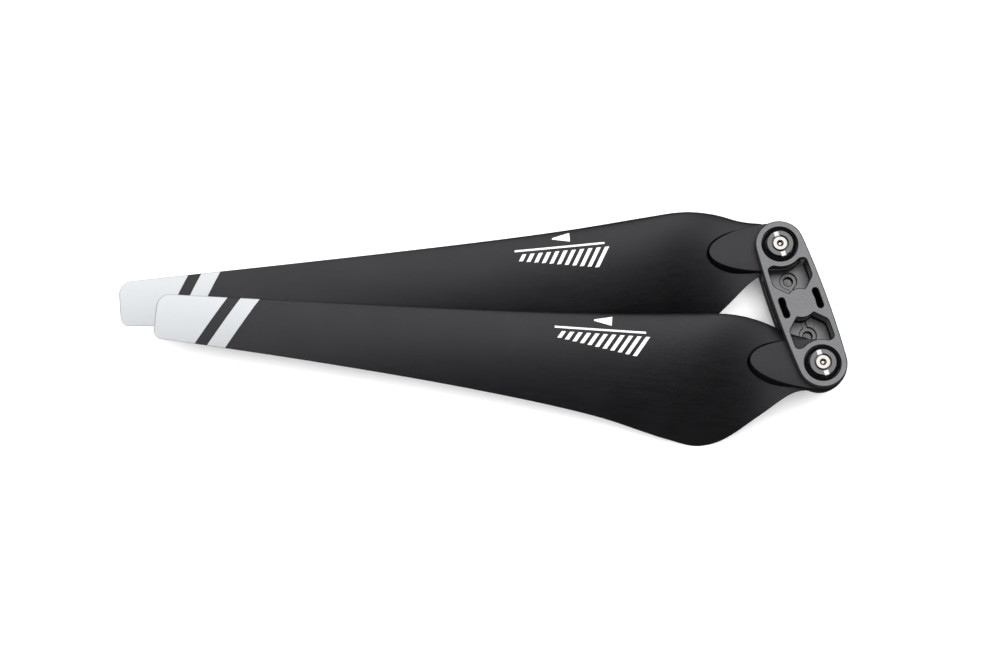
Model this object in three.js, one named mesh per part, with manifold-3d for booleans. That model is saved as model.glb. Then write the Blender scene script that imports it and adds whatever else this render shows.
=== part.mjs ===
// Folding two-blade propeller: two aluminium plates with a blade pivoting between them at each end.
//
// Millimetres. +Z is the spin axis, upwards, and the propeller turns clockwise seen from above.
// The origin is the centre of the base plate's underside, the face that sits on the motor.
// +X runs along the hub from pivot A to pivot B. The blades are placed folded, as for transport.
import * as THREE from 'three';
import { mergeVertices } from 'three/addons/utils/BufferGeometryUtils.js';
import Module from 'manifold-3d';

const wasm = await Module();
wasm.setup();

// ---- driving dimensions ----------------------------------------------------------------------------

const INCH = 25.4;
const TIP_CIRCLE = 21 * INCH;
const PITCH = 7 * INCH;
const PIVOT_SPACING = 46.4;
const PIVOT_X = PIVOT_SPACING / 2;
const BLADE_LENGTH = (TIP_CIRCLE - PIVOT_SPACING) / 2;

// Direction in which each folded blade points, in degrees from +X about +Z.
const FOLDED_A = -102.5;
const FOLDED_B = -111.9;

// Heights in the hub, from the motor face up.
const BASE_TOP = 3.3;
const SPACER_TOP = 6;
const EAR_UNDERSIDE = 8.4;
const HUB_TOP = 11;
const RECESS_FLOOR = 9.9;
const COLLAR_TOP = 12.2;

// Hub outline, windows and slots, all in plan.
const EAR_RADIUS = 8.9;
const WAIST_HALF_WIDTH = 9.75;
const EDGE_CHAMFER = 0.4;
const RIM_INSIDE = 7.6;
const PAD_RADIUS = 5.25;
const WINDOW_OUTER_X = 16.2;
const WINDOW_SHOULDER_X = 8.5;
const WINDOW_INNER_X = 4.5;
const WINDOW_INNER_Y = 3.4;
const PIVOT_WALL_RADIUS = 8.4;
const SLOT_LENGTH = 8.3;
const SLOT_WIDTH = 2.75;
const SLOT_OFFSET = 6.4;
const SKIRT_OPEN_A_X = -13;
const SKIRT_OPEN_B_X = 5.4;
const SKIRT_MIDDLE_X = 9.2;
const SKIRT_CLOSED_X = 18;
const BOSS_CLEARANCE_RADIUS = 10.2;
const SKIRT_INSET = 0.4;
const SPACER_INSET = 0.6;

// Motor screws: two M3 holes through the base plate, reached through the windows.
const MOTOR_HOLE_X = 10.75;
const MOTOR_HOLE_RADIUS = 1.6;
const MOTOR_COUNTERBORE_RADIUS = 3;
const MOTOR_COUNTERBORE_DEPTH = 0.8;
const GROOVE_WIDTH = 1.6;
const GROOVE_START_X = 4.6;

// Clamp screws: two M2.5 countersunk screws from below into the top plate.
const CLAMP_Y = 3.2;
const CLAMP_HOLE_RADIUS = 1.35;
const CLAMP_HOLE_TOP = 9.2;
const CLAMP_SCREW_RADIUS = 1.2;
const CLAMP_SCREW_TOP = 8.8;
const CLAMP_HEAD_RADIUS = 2.3;
const CLAMP_HEAD_BOTTOM = 0.15;
const CLAMP_SOCKET = 1.5;
const CLAMP_SOCKET_DEPTH = 0.9;
const CLAMP_SEAT_GAP = 0.2;

// Pivot hardware, from the shaft outwards.
const SHAFT_RADIUS = 2.5;
const SHAFT_HOLE_RADIUS = 2.65;
const SHAFT_TOP = 10.3;
const SHAFT_BORE_RADIUS = 1.6;
const SHAFT_BORE_FLOOR = 4.5;
const SHAFT_HEAD_RADIUS = 4.2;
const SHAFT_HEAD_FLAT = 3.4;
const SHAFT_HEAD_BOTTOM = 0.15;
const SHAFT_HEAD_TOP = 1.3;
const HEAD_POCKET_TOP = 1.4;
const HEAD_POCKET_GAP = 0.2;
const SCREW_RADIUS = 1.45;
const SCREW_BOTTOM = 5;
const SCREW_HEAD_RADIUS = 2.65;
const SCREW_HEAD_BOTTOM = 11.1;
const SCREW_HEAD_TOP = 12.15;
const SCREW_SOCKET = 2;
const SCREW_SOCKET_DEPTH = 0.8;
const COLLAR_RADIUS = 4.9;
const COLLAR_BOTTOM = 10.4;
const COLLAR_SEAT = 11.02;
const COLLAR_BORE_RADIUS = 3.05;
const COLLAR_WEB_RADIUS = 1.75;
const SPANNER_SLOT_WIDTH = 2;
const SPANNER_SLOT_DEPTH = 0.8;
const RECESS_RADIUS = 6.45;
const RING_OUTER_RADIUS = 6.3;
const RING_INNER_RADIUS = 5.05;
const RING_TOP = 10.75;
const SPRING_OUTER_RADIUS = 4.5;
const WASHER_RADIUS = 5.6;
const WASHER_INNER_RADIUS = 2.75;
const WASHER_POCKET_RADIUS = 5.75;
const WASHER_THICKNESS = 0.6;
const WASHER_POCKET_DEPTH = 0.3;
const LOWER_WASHER_BOTTOM = 3.03;
const UPPER_WASHER_BOTTOM = 8.06;
const BUSH_RADIUS = 3.7;
const BUSH_BORE_RADIUS = 2.58;
const BUSH_HOLE_RADIUS = 3.82;
const SHIM_GAP = 0.02;

// Blade root: a flat boss between the washers, running out along the blade as a half-ellipse.
const ROOT_BOTTOM = 3.7;
const ROOT_TOP = 8;
const ROOT_RADIUS = 9.25;
const TONGUE_LENGTH = 25.5;
const TRENCH_WIDTH = 0.75;
const TRENCH_SHIFT = [0.25, 0.4];
const TRENCH_FLOOR = 5.6;
const TRENCH_START = 11;

// Plan of the blade. Each pair is a distance from the pivot along the blade and an offset square to it:
// ahead of the blade's axis for the leading edge, behind it for the trailing edge.
const LEADING_EDGE = [
  [0, 9.2], [12, 11.4], [21, 14.2], [30, 15.3], [45, 14.6], [80, 12.2], [140, 9.9], [BLADE_LENGTH, 7.1],
];
const TRAILING_EDGE = [
  [0, 9.2], [8, 10.1], [20, 18.7], [32, 27.2], [41, 30.1], [52, 29.1], [78, 23.8], [122, 18.2], [180, 13.1],
  [BLADE_LENGTH, 8.9],
];
const MAX_THICKNESS = [
  [0, 2.9], [24, 3.1], [45, 4.8], [75, 3.6], [115, 2.2], [180, 1.15], [BLADE_LENGTH, 0.75],
];
const LEADING_TIP_RADIUS = 4.5;
const TRAILING_TIP_RADIUS = 2.6;
const CHORD_HEIGHT = [[0, 5.3], [10, 5], [24, 3.6], [45, 4.4], [80, 5.2], [130, 5.3], [BLADE_LENGTH, 5.3]];
const TWIST_START = 8;
const TWIST_FULL = 42;
const TIP_SLOPE = 0.13;
const CAMBER_RATIO = [
  [0, 0], [12, 0.01], [24, 0.055], [45, 0.08], [90, 0.06], [140, 0.045], [190, 0.018], [BLADE_LENGTH, 0.006],
];
const TRAILING_EDGE_THICKNESS = 0.4;

const ROUND = 32;
const OUTLINE_STEPS = 8;
const CORNER_STEPS = 3;
const SECTION_STEPS = 8;
const TIP_STEPS = 5;
const INNER_STATION_GAP = 4;
const OUTER_STATION_GAP = 14;
const INNER_STATIONS_END = 60;
const LOFT_START = 5;

// How far a cutting solid runs past the face that it cuts.
const PAST = 1;

// ---- geometry helpers ------------------------------------------------------------------------------

function solidOf(geometry) {
  const bare = geometry.clone();
  bare.deleteAttribute('normal');
  bare.deleteAttribute('uv');
  const merged = mergeVertices(bare, 1e-5);
  return new wasm.Manifold(new wasm.Mesh({
    numProp: 3,
    vertProperties: new Float32Array(merged.attributes.position.array),
    triVerts: new Uint32Array(merged.index.array),
  }));
}

function geometryOf(solid) {
  const mesh = solid.getMesh();
  const geometry = new THREE.BufferGeometry();
  geometry.setAttribute('position', new THREE.BufferAttribute(mesh.vertProperties, 3));
  geometry.setIndex(new THREE.BufferAttribute(mesh.triVerts, 1));
  return geometry;
}

// A prism of a flat outline between two heights, with its outer edges chamfered by `chamfer`.
function prism(shape, bottom, top, chamfer = 0, curveSegments = OUTLINE_STEPS) {
  const geometry = new THREE.ExtrudeGeometry(shape, {
    depth: top - bottom - 2 * chamfer,
    curveSegments,
    bevelEnabled: chamfer > 0,
    bevelThickness: chamfer,
    bevelSize: chamfer,
    bevelOffset: -chamfer,
    bevelSegments: 1,
  });
  return solidOf(geometry.translate(0, 0, bottom + chamfer));
}

// A body turned about the Z axis from a profile of [radius, height] points, listed upwards.
function turned(profile) {
  const points = profile.map(([radius, height]) => new THREE.Vector2(radius, height));
  return solidOf(new THREE.LatheGeometry(points, ROUND).rotateX(Math.PI / 2));
}

function disc(radius, bottom, top) {
  return turned([[0, bottom], [radius, bottom], [radius, top], [0, top]]);
}

function ring(innerRadius, outerRadius, bottom, top) {
  return turned([
    [innerRadius, bottom], [outerRadius, bottom], [outerRadius, top], [innerRadius, top], [innerRadius, bottom],
  ]);
}

function box(sizeX, sizeY, bottom, top) {
  return solidOf(new THREE.BoxGeometry(sizeX, sizeY, top - bottom).translate(0, 0, (bottom + top) / 2));
}

function hexPrism(acrossFlats, bottom, top) {
  const radius = acrossFlats / Math.sqrt(3);
  const geometry = new THREE.CylinderGeometry(radius, radius, top - bottom, 6);
  return solidOf(geometry.rotateX(Math.PI / 2).translate(0, 0, (bottom + top) / 2));
}

// The solid at +X and its copy turned half round about Z.
function bothEnds(solid) {
  return solid.add(solid.rotate([0, 0, 180]));
}

// A polygon of [x, y, rounding] corners. Each corner's curve starts and ends `rounding` away from it.
function roundedPolygon(corners) {
  const shape = new THREE.Shape();
  const points = corners.map(([x, y]) => new THREE.Vector2(x, y));
  corners.forEach(([x, y, rounding], index) => {
    const towards = (other) => other.clone().sub(points[index]).setLength(rounding).add(points[index]);
    const start = towards(points.at(index - 1));
    const end = towards(points[(index + 1) % points.length]);
    if (index === 0) shape.moveTo(start.x, start.y);
    else shape.lineTo(start.x, start.y);
    shape.quadraticCurveTo(x, y, end.x, end.y);
  });
  shape.closePath();
  return shape;
}

// ---- hub -------------------------------------------------------------------------------------------

// Both plates share this outline: round ears about the pivots, joined by sides that bow out slightly to
// the waist. Each side is one large arc that meets the ears without a corner. It can be grown all round.
function hubOutline(growth = 0) {
  const bow = WAIST_HALF_WIDTH - EAR_RADIUS;
  const centreDrop = (PIVOT_X ** 2 - bow ** 2) / (2 * bow);
  const sideRadius = centreDrop + WAIST_HALF_WIDTH;
  const lean = Math.atan2(PIVOT_X, centreDrop);
  const quarter = Math.PI / 2;
  const shape = new THREE.Shape();
  shape.absarc(PIVOT_X, 0, EAR_RADIUS + growth, -quarter + lean, quarter - lean);
  shape.absarc(0, -centreDrop, sideRadius + growth, quarter - lean, quarter + lean);
  shape.absarc(-PIVOT_X, 0, EAR_RADIUS + growth, quarter + lean, 3 * quarter - lean);
  shape.absarc(0, centreDrop, sideRadius + growth, -quarter - lean, -quarter + lean);
  return shape;
}

// The window at the pivot B end: square shoulders at the rim, cut corners towards the pad, and walls
// that follow the round pad and the round pivot boss.
function windowCut(bottom, top) {
  const shoulder = 1;
  const outer = 2;
  const inner = 0.4;
  const outline = roundedPolygon([
    [WINDOW_INNER_X, -WINDOW_INNER_Y, inner],
    [WINDOW_SHOULDER_X, -RIM_INSIDE, shoulder],
    [WINDOW_OUTER_X, -RIM_INSIDE, outer],
    [WINDOW_OUTER_X, RIM_INSIDE, outer],
    [WINDOW_SHOULDER_X, RIM_INSIDE, shoulder],
    [WINDOW_INNER_X, WINDOW_INNER_Y, inner],
  ]);
  return prism(outline, bottom, top, 0, CORNER_STEPS)
    .subtract(disc(PAD_RADIUS, bottom - PAST, top + PAST))
    .subtract(disc(PIVOT_WALL_RADIUS, bottom - PAST, top + PAST).translate([PIVOT_X, 0, 0]));
}

function slotCut(bottom, top) {
  const half = SLOT_LENGTH / 2 - SLOT_WIDTH / 2;
  const outline = new THREE.Shape();
  outline.absarc(half, SLOT_OFFSET, SLOT_WIDTH / 2, -Math.PI / 2, Math.PI / 2);
  outline.absarc(-half, SLOT_OFFSET, SLOT_WIDTH / 2, Math.PI / 2, 3 * Math.PI / 2);
  return prism(outline, bottom, top, 0, CORNER_STEPS)
    .subtract(disc(PAD_RADIUS, bottom - PAST, top + PAST));
}

// The part of the hub outline that the middle fills between the plates, grown all round by `growth`.
// It is closed along +Y from window to window, and open along -Y where the folded blades come out.
function middle(bottom, top, growth) {
  const reach = WAIST_HALF_WIDTH + PAST;
  const filled = new THREE.Shape([
    new THREE.Vector2(SKIRT_OPEN_A_X - growth, -reach),
    new THREE.Vector2(SKIRT_OPEN_B_X + growth, -reach),
    new THREE.Vector2(SKIRT_MIDDLE_X + growth, 0),
    new THREE.Vector2(SKIRT_CLOSED_X + growth, 0),
    new THREE.Vector2(SKIRT_CLOSED_X + growth, reach),
    new THREE.Vector2(-SKIRT_CLOSED_X - growth, reach),
    new THREE.Vector2(-SKIRT_CLOSED_X - growth, 0),
  ]);
  const boss = disc(BOSS_CLEARANCE_RADIUS - growth, 0, HUB_TOP).translate([PIVOT_X, 0, 0]);
  return prism(hubOutline(growth), bottom, top)
    .intersect(prism(filled, bottom - PAST, top + PAST))
    .subtract(bothEnds(boss));
}

function clampHoles(bottom, top) {
  const hole = disc(CLAMP_HOLE_RADIUS, bottom, top).translate([0, CLAMP_Y, 0]);
  return bothEnds(hole);
}

function hubTopPlate() {
  const above = HUB_TOP + PAST;
  const below = SPACER_TOP - PAST;
  const recess = disc(RECESS_RADIUS, RECESS_FLOOR, above).translate([PIVOT_X, 0, 0]);
  const shaftHole = disc(SHAFT_HOLE_RADIUS, below, above).translate([PIVOT_X, 0, 0]);
  const washerPocket = disc(WASHER_POCKET_RADIUS, below, EAR_UNDERSIDE + WASHER_POCKET_DEPTH)
    .translate([PIVOT_X, 0, 0]);
  return prism(hubOutline(), EAR_UNDERSIDE, HUB_TOP, EDGE_CHAMFER)
    .add(middle(SPACER_TOP, EAR_UNDERSIDE + EDGE_CHAMFER * 2, -SKIRT_INSET))
    .subtract(bothEnds(recess))
    .subtract(bothEnds(shaftHole))
    .subtract(bothEnds(washerPocket))
    .subtract(bothEnds(windowCut(below, above)))
    .subtract(bothEnds(slotCut(below, above)))
    .subtract(clampHoles(below, CLAMP_HOLE_TOP));
}

function hubBasePlate() {
  const above = BASE_TOP + PAST;
  const counterboreFloor = BASE_TOP - MOTOR_COUNTERBORE_DEPTH;
  const motorHole = disc(MOTOR_HOLE_RADIUS, -PAST, above).translate([MOTOR_HOLE_X, 0, 0]);
  const counterbore = disc(MOTOR_COUNTERBORE_RADIUS, counterboreFloor, above).translate([MOTOR_HOLE_X, 0, 0]);
  const grooveLength = MOTOR_HOLE_X - GROOVE_START_X;
  const groove = box(grooveLength, GROOVE_WIDTH, counterboreFloor, above)
    .translate([MOTOR_HOLE_X - grooveLength / 2, 0, 0]);
  const shaftHole = disc(SHAFT_HOLE_RADIUS, -PAST, above).translate([PIVOT_X, 0, 0]);
  const washerPocket = disc(WASHER_POCKET_RADIUS, BASE_TOP - WASHER_POCKET_DEPTH, above)
    .translate([PIVOT_X, 0, 0]);
  const pocketRadius = SHAFT_HEAD_RADIUS + HEAD_POCKET_GAP;
  const pocketFlat = SHAFT_HEAD_FLAT + HEAD_POCKET_GAP;
  const headPocket = flattedDisc(pocketRadius, pocketFlat, -PAST, HEAD_POCKET_TOP).translate([PIVOT_X, 0, 0]);
  const countersink = clampHeadCone(CLAMP_SEAT_GAP).translate([0, CLAMP_Y, 0]);
  return prism(hubOutline(), 0, BASE_TOP, EDGE_CHAMFER)
    .subtract(bothEnds(motorHole))
    .subtract(bothEnds(counterbore))
    .subtract(bothEnds(groove))
    .subtract(bothEnds(shaftHole))
    .subtract(bothEnds(washerPocket))
    .subtract(bothEnds(headPocket))
    .subtract(bothEnds(countersink))
    .subtract(clampHoles(-PAST, above));
}

// The black spacer fills the middle between the plates, a little inside the metal. It closes the slots.
function hubSpacer() {
  const below = BASE_TOP - PAST;
  const above = SPACER_TOP + PAST;
  return middle(BASE_TOP, SPACER_TOP, -SPACER_INSET)
    .subtract(bothEnds(windowCut(below, above)))
    .subtract(clampHoles(below, above));
}

// The countersunk head's cone, grown all round by `gap` for the seat that it lies in.
function clampHeadCone(gap) {
  const bottom = gap > 0 ? -PAST : CLAMP_HEAD_BOTTOM;
  const rim = CLAMP_HEAD_RADIUS + gap;
  return turned([
    [0, bottom], [rim, bottom], [rim, CLAMP_HEAD_BOTTOM + gap], [0, CLAMP_HEAD_BOTTOM + gap + rim],
  ]);
}

function clampScrew() {
  return clampHeadCone(0)
    .add(disc(CLAMP_SCREW_RADIUS, CLAMP_HEAD_BOTTOM + CLAMP_SCREW_RADIUS / 2, CLAMP_SCREW_TOP))
    .subtract(hexPrism(CLAMP_SOCKET, -PAST, CLAMP_HEAD_BOTTOM + CLAMP_SOCKET_DEPTH));
}

// ---- pivot hardware --------------------------------------------------------------------------------

// A disc with one side cut flat, so that it can't turn in its pocket. The flat faces +X.
function flattedDisc(radius, flat, bottom, top) {
  const cutter = box(radius, 3 * radius, bottom - PAST, top + PAST).translate([flat + radius / 2, 0, 0]);
  return disc(radius, bottom, top).subtract(cutter);
}

function pivotShaft() {
  return flattedDisc(SHAFT_HEAD_RADIUS, SHAFT_HEAD_FLAT, SHAFT_HEAD_BOTTOM, SHAFT_HEAD_TOP)
    .add(disc(SHAFT_RADIUS, SHAFT_HEAD_BOTTOM, SHAFT_TOP))
    .subtract(disc(SHAFT_BORE_RADIUS, SHAFT_BORE_FLOOR, SHAFT_TOP + PAST));
}

function pivotScrew() {
  const chamfer = 0.3;
  return turned([
    [0, SCREW_BOTTOM],
    [SCREW_RADIUS, SCREW_BOTTOM],
    [SCREW_RADIUS, SCREW_HEAD_BOTTOM],
    [SCREW_HEAD_RADIUS, SCREW_HEAD_BOTTOM],
    [SCREW_HEAD_RADIUS, SCREW_HEAD_TOP - chamfer],
    [SCREW_HEAD_RADIUS - chamfer, SCREW_HEAD_TOP],
    [0, SCREW_HEAD_TOP],
  ]).subtract(hexPrism(SCREW_SOCKET, SCREW_HEAD_TOP - SCREW_SOCKET_DEPTH, SCREW_HEAD_TOP + PAST));
}

function pivotCollar() {
  const chamfer = 0.25;
  const slot = box(3 * COLLAR_RADIUS, SPANNER_SLOT_WIDTH, COLLAR_TOP - SPANNER_SLOT_DEPTH, COLLAR_TOP + PAST);
  return turned([
    [COLLAR_WEB_RADIUS, COLLAR_BOTTOM],
    [COLLAR_RADIUS, COLLAR_BOTTOM],
    [COLLAR_RADIUS, COLLAR_TOP - chamfer],
    [COLLAR_RADIUS - chamfer, COLLAR_TOP],
    [COLLAR_BORE_RADIUS, COLLAR_TOP],
    [COLLAR_BORE_RADIUS, COLLAR_SEAT],
    [COLLAR_WEB_RADIUS, COLLAR_SEAT],
    [COLLAR_WEB_RADIUS, COLLAR_BOTTOM],
  ]).subtract(slot);
}

// A shallow cone of spring steel, resting on its rim and bearing on the collar at its bore.
function springWasher() {
  const sheet = 0.25;
  const rise = 0.15;
  const bottom = RECESS_FLOOR + SHIM_GAP;
  return turned([
    [SHAFT_HOLE_RADIUS, bottom + rise],
    [SPRING_OUTER_RADIUS, bottom],
    [SPRING_OUTER_RADIUS, bottom + sheet],
    [SHAFT_HOLE_RADIUS, bottom + rise + sheet],
    [SHAFT_HOLE_RADIUS, bottom + rise],
  ]);
}

function recessRing() {
  return ring(RING_INNER_RADIUS, RING_OUTER_RADIUS, RECESS_FLOOR + SHIM_GAP, RING_TOP);
}

function thrustWasher(bottom) {
  return ring(WASHER_INNER_RADIUS, WASHER_RADIUS, bottom, bottom + WASHER_THICKNESS);
}

function bladeBush() {
  return ring(BUSH_BORE_RADIUS, BUSH_RADIUS, ROOT_BOTTOM + SHIM_GAP, ROOT_TOP - SHIM_GAP);
}

// ---- blade -----------------------------------------------------------------------------------------
// In the blade's own frame the pivot is the origin, the blade runs along +X, and the leading edge is
// on the -Y side.

// A smooth curve through [position, value] pairs, read at one position.
function smoothValue(pairs, position) {
  let index = 0;
  while (index < pairs.length - 2 && position > pairs[index + 1][0]) index += 1;
  const rise = (k) => (pairs[k + 1][1] - pairs[k][1]) / (pairs[k + 1][0] - pairs[k][0]);
  const tangent = (k) => {
    const last = pairs.length - 1;
    if (k === 0) return rise(0);
    if (k === last) return rise(last - 1);
    return (rise(k - 1) + rise(k)) / 2;
  };
  const [start, startValue] = pairs[index];
  const [end, endValue] = pairs[index + 1];
  const span = end - start;
  const u = (position - start) / span;
  return startValue * (2 * u ** 3 - 3 * u ** 2 + 1)
    + span * tangent(index) * (u ** 3 - 2 * u ** 2 + u)
    + endValue * (3 * u ** 2 - 2 * u ** 3)
    + span * tangent(index + 1) * (u ** 3 - u ** 2);
}

// How far a rounded tip corner pulls an edge in at distance r from the pivot.
function tipPullIn(r, radius) {
  const into = Math.max(0, r - (BLADE_LENGTH - radius));
  return radius - Math.sqrt(Math.max(0, radius ** 2 - into ** 2));
}

// Slope of the chord: flat at the root, then the helix of the pitch, held up a little towards the tip.
function chordSlope(r) {
  const helix = PITCH / (2 * Math.PI * (r + PIVOT_X));
  return THREE.MathUtils.smoothstep(r, TWIST_START, TWIST_FULL) * Math.hypot(helix, TIP_SLOPE);
}

// Half thickness of the section at a fraction of the chord behind the leading edge.
function halfThickness(fraction, thickness) {
  const rounded = 1.4845 * Math.sqrt(fraction) - 0.63 * fraction - 1.758 * fraction ** 2
    + 1.4215 * fraction ** 3 - 0.518 * fraction ** 4;
  return thickness * rounded + TRAILING_EDGE_THICKNESS / 2 * fraction;
}

// One closed section: leading edge, back along the upper side, and forward along the lower side.
function bladeSection(r) {
  const ahead = smoothValue(LEADING_EDGE, r) - tipPullIn(r, LEADING_TIP_RADIUS);
  const behind = smoothValue(TRAILING_EDGE, r) - tipPullIn(r, TRAILING_TIP_RADIUS);
  const chord = ahead + behind;
  const camber = smoothValue(CAMBER_RATIO, r) * chord;
  const thickness = smoothValue(MAX_THICKNESS, r);
  const chordHeight = smoothValue(CHORD_HEIGHT, r);
  const point = (step, side) => {
    const fraction = (1 - Math.cos(Math.PI * step / SECTION_STEPS)) / 2;
    const offset = ahead - chord * fraction;
    const camberLine = 4 * camber * fraction * (1 - fraction);
    const height = chordHeight + chordSlope(r) * offset + camberLine
      + side * halfThickness(fraction, thickness);
    return [r, -offset, height];
  };
  const points = [point(0, 0)];
  for (let step = 1; step <= SECTION_STEPS; step += 1) points.push(point(step, 1));
  for (let step = SECTION_STEPS; step >= 1; step -= 1) points.push(point(step, -1));
  return points;
}

function bladeStations() {
  const stations = [];
  const tipStart = BLADE_LENGTH - LEADING_TIP_RADIUS;
  for (let r = LOFT_START; r < INNER_STATIONS_END; r += INNER_STATION_GAP) stations.push(r);
  for (let r = INNER_STATIONS_END; r < tipStart; r += OUTER_STATION_GAP) stations.push(r);
  for (let k = 0; k <= TIP_STEPS; k += 1) {
    stations.push(tipStart + LEADING_TIP_RADIUS * Math.sin(Math.PI / 2 * k / TIP_STEPS));
  }
  return stations;
}

// The aerofoil as a skin over its sections, closed by a flat face at each end.
function aerofoil() {
  const sections = bladeStations().map(bladeSection);
  const count = sections[0].length;
  const faces = [];
  for (let s = 0; s < sections.length - 1; s += 1) {
    for (let k = 0; k < count; k += 1) {
      const here = s * count + k;
      const next = s * count + (k + 1) % count;
      faces.push(here, next + count, next, here, here + count, next + count);
    }
  }
  const root = 0;
  const tip = (sections.length - 1) * count;
  faces.push(root, root + 1, root + count - 1, tip, tip + count - 1, tip + 1);
  for (let upper = 1; upper < SECTION_STEPS; upper += 1) {
    const lower = count - upper;
    faces.push(root + upper, root + lower - 1, root + lower, root + upper, root + upper + 1, root + lower - 1);
    faces.push(tip + upper, tip + lower, tip + lower - 1, tip + upper, tip + lower - 1, tip + upper + 1);
  }
  const geometry = new THREE.BufferGeometry();
  geometry.setAttribute('position', new THREE.Float32BufferAttribute(sections.flat(2), 3));
  geometry.setIndex(faces);
  return solidOf(geometry);
}

// The flat tongue between the washers, round behind the pivot and elliptical along the blade.
function tongue(growth, bottom, top) {
  const outline = new THREE.Shape();
  const radius = ROOT_RADIUS + growth;
  outline.absellipse(0, 0, TONGUE_LENGTH + growth, radius, -Math.PI / 2, Math.PI / 2);
  outline.absarc(0, 0, radius, Math.PI / 2, 3 * Math.PI / 2);
  return prism(outline, bottom, top);
}

// The narrow trench in the aerofoil round the outer part of the tongue, wider on the trailing side.
function trench() {
  const hub = box(2 * TRENCH_START, 4 * ROOT_RADIUS, 0, 2 * HUB_TOP);
  const [outward, back] = TRENCH_SHIFT;
  return tongue(TRENCH_WIDTH, TRENCH_FLOOR, HUB_TOP + PAST).translate([outward, back, 0]).subtract(hub);
}

function blade() {
  return aerofoil()
    .subtract(trench())
    .add(tongue(0, ROOT_BOTTOM, ROOT_TOP))
    .subtract(disc(BUSH_HOLE_RADIUS, 0, HUB_TOP));
}

// ---- materials -------------------------------------------------------------------------------------

const greyAnodised = new THREE.MeshStandardMaterial({ color: 0x55565a, roughness: 0.45, metalness: 0.9 });
const carbonNylon = new THREE.MeshStandardMaterial({ color: 0x1b1b1d, roughness: 0.6, metalness: 0 });
const brightSteel = new THREE.MeshStandardMaterial({ color: 0xd9d6d0, roughness: 0.25, metalness: 1 });
const blackAcetal = new THREE.MeshStandardMaterial({ color: 0x0c0c0d, roughness: 0.5, metalness: 0 });
const bronze = new THREE.MeshStandardMaterial({ color: 0x9a7440, roughness: 0.4, metalness: 1 });

// ---- assembly --------------------------------------------------------------------------------------

function named(name, solid, material) {
  const mesh = new THREE.Mesh(geometryOf(solid), material);
  mesh.name = name;
  return mesh;
}

// Everything at one pivot. `end` is 1 at the +X end of the hub and -1 at the other, which is the same
// turned half round. The blade and its bush swing, and the rest stays with the hub.
function pivotAssembly(letter, end, foldedDirection) {
  const fixed = new THREE.Group();
  fixed.rotation.z = end > 0 ? 0 : Math.PI;
  fixed.add(
    named(`pivot_shaft_${letter}`, pivotShaft(), brightSteel),
    named(`pivot_screw_${letter}`, pivotScrew(), brightSteel),
    named(`pivot_collar_${letter}`, pivotCollar(), greyAnodised),
    named(`spring_washer_${letter}`, springWasher(), brightSteel),
    named(`recess_ring_${letter}`, recessRing(), blackAcetal),
    named(`lower_thrust_washer_${letter}`, thrustWasher(LOWER_WASHER_BOTTOM), blackAcetal),
    named(`upper_thrust_washer_${letter}`, thrustWasher(UPPER_WASHER_BOTTOM), blackAcetal),
  );
  const swinging = new THREE.Group();
  swinging.rotation.z = THREE.MathUtils.degToRad(foldedDirection);
  swinging.add(
    named(`blade_${letter}`, blade(), carbonNylon),
    named(`blade_bush_${letter}`, bladeBush(), bronze),
  );
  const pivot = new THREE.Group();
  pivot.position.x = end * PIVOT_X;
  pivot.add(fixed, swinging);
  return pivot;
}

const propeller = new THREE.Group();
propeller.add(
  named('hub_base_plate', hubBasePlate(), greyAnodised),
  named('hub_spacer', hubSpacer(), blackAcetal),
  named('hub_top_plate', hubTopPlate(), greyAnodised),
);
[-1, 1].forEach((side, index) => {
  const screw = named(`clamp_screw_${index + 1}`, clampScrew(), brightSteel);
  screw.position.y = side * CLAMP_Y;
  propeller.add(screw);
});

propeller.add(pivotAssembly('a', -1, FOLDED_A), pivotAssembly('b', 1, FOLDED_B));

export default propeller;
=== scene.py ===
# Folding two-blade propeller: fine surfaces, finishes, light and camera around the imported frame.
#
# The frame is the CAD's: +Z is the spin axis, the origin is the centre of the motor face, and +X runs
# along the hub from pivot A to pivot B. Shapes are worked out in millimetres and scaled to metres when
# a piece is finished.
import math

import bpy
import numpy as np
from mathutils import Matrix, Vector


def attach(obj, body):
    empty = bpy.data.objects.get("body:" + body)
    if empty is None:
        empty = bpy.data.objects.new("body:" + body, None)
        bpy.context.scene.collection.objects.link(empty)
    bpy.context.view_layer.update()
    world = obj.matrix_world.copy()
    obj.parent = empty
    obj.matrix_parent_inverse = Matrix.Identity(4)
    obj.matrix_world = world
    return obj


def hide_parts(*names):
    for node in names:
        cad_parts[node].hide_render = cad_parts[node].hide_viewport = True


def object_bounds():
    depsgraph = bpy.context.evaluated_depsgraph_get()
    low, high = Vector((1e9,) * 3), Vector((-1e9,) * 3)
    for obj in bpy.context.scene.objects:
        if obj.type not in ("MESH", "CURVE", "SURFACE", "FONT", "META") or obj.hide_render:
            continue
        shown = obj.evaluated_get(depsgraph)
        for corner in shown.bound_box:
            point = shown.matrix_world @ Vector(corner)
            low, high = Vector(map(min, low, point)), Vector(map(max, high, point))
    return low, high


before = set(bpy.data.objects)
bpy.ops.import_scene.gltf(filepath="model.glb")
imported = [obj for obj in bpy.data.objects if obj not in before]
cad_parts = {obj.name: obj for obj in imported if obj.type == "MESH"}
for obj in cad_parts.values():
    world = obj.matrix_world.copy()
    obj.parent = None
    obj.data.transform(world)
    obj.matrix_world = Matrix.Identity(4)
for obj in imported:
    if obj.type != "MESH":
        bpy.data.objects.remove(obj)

cad_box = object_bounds()

# ---- dimensions, in millimetres --------------------------------------------------------------------

MM = 0.001
INCH = 25.4
TIP_CIRCLE = 21 * INCH
PITCH = 7 * INCH
PIVOT_SPACING = 46.4
PIVOT_X = PIVOT_SPACING / 2
BLADE_LENGTH = (TIP_CIRCLE - PIVOT_SPACING) / 2

# Each end of the hub: the side of the origin that it is on, and the direction of its folded blade.
ENDS = {"a": (-1, -102.5), "b": (1, -111.9)}

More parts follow.
